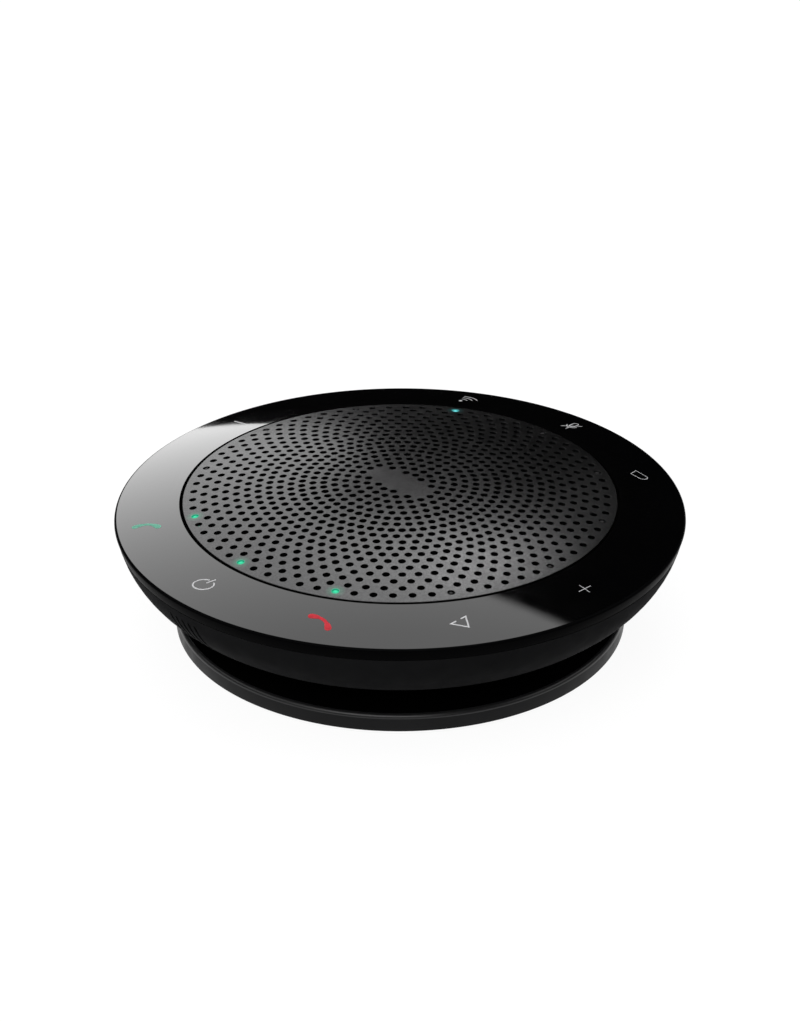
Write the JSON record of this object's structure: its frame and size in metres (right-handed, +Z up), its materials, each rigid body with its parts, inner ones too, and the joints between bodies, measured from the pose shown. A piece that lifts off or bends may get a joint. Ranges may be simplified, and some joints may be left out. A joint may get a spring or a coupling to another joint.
{
  "type": "conference speakerphone",
  "caption": "Round table-top conference speakerphone: perforated dome over a loudspeaker, gloss touch ring, bowl housing and a cord-winding groove above a flat foot.",
  "frame": {"origin": "on the table under the centre of the puck", "axes": "+Z up through the middle of the dome, -Y to the front, where the power sign and the microphone slots are, +X to the plus sign"},
  "size_m": [0.1204, 0.1204, 0.032],
  "materials": {
    "grille_grey": "satin dark grey",
    "ring_gloss_black": "piano black",
    "housing_black": "fine satin",
    "base_black": "fine satin",
    "foot_rubber": "matt",
    "mesh_black": "woven screen",
    "foam_black": "foam",
    "light_green": "clear, lit green",
    "light_blue": "clear, lit blue",
    "light_clear": "smoked, unlit",
    "led_white": "moulded",
    "circuit_green": "solder mask",
    "film_amber": "polyimide",
    "frame_plastic": "moulded",
    "screw_steel": "zinc plated",
    "motor_steel": "zinc plated",
    "magnet_ferrite": "sintered",
    "cone_black": "pressed pulp",
    "surround_rubber": "matt",
    "spider_cloth": "resin-set cloth",
    "former_amber": "polyimide",
    "winding_copper": "enamelled",
    "terminal_brass": "plain",
    "tin_plate": "plain",
    "chip_black": "moulded",
    "connector_ivory": "moulded",
    "cell_silver": "foil"
  },
  "bodies": {
    "housing": {"speaker_grille": "grille_grey", "acoustic_mesh": "mesh_black", "grille_seal": "foam_black", "touch_ring": "ring_gloss_black", "touch_film": "film_amber", "touch_board": "circuit_green", "status_leds": "led_white", "light_pipes_call": "light_green", "light_pipe_link": "light_blue", "light_pipes_idle": "light_clear", "mid_frame": "frame_plastic", "frame_screws": "screw_steel", "driver_basket": "frame_plastic", "driver_yoke": "motor_steel", "driver_magnet": "magnet_ferrite", "driver_top_plate": "motor_steel", "cone_surround": "surround_rubber", "spider": "spider_cloth", "driver_gasket": "foam_black", "driver_screws": "screw_steel", "speaker_terminals": "terminal_brass", "main_board": "circuit_green", "board_screws": "screw_steel", "shield_can": "tin_plate", "board_chips": "chip_black", "board_capacitors": "tin_plate", "board_connectors": "connector_ivory", "battery_cell": "cell_silver", "battery_pad": "foam_black", "mic_capsule": "tin_plate", "mic_boot": "foot_rubber", "lower_housing": "housing_black", "cord_drum": "housing_black", "cord_gland": "foot_rubber", "base_plate": "base_black", "foot_ring": "foot_rubber", "base_screws": "screw_steel"},
    "cone": {"speaker_cone": "cone_black", "dust_cap": "cone_black", "coil_former": "former_amber", "voice_coil": "winding_copper"}
  },
  "joints": [
    {"name": "cone_excursion", "type": "slide", "parent": "housing", "child": "cone", "axis": [0, 0, 1], "range_m": [-0.0014, 0.0014], "stiffness_N_per_m": 1000, "deforming": ["cone_surround", "spider"]}
  ]
}
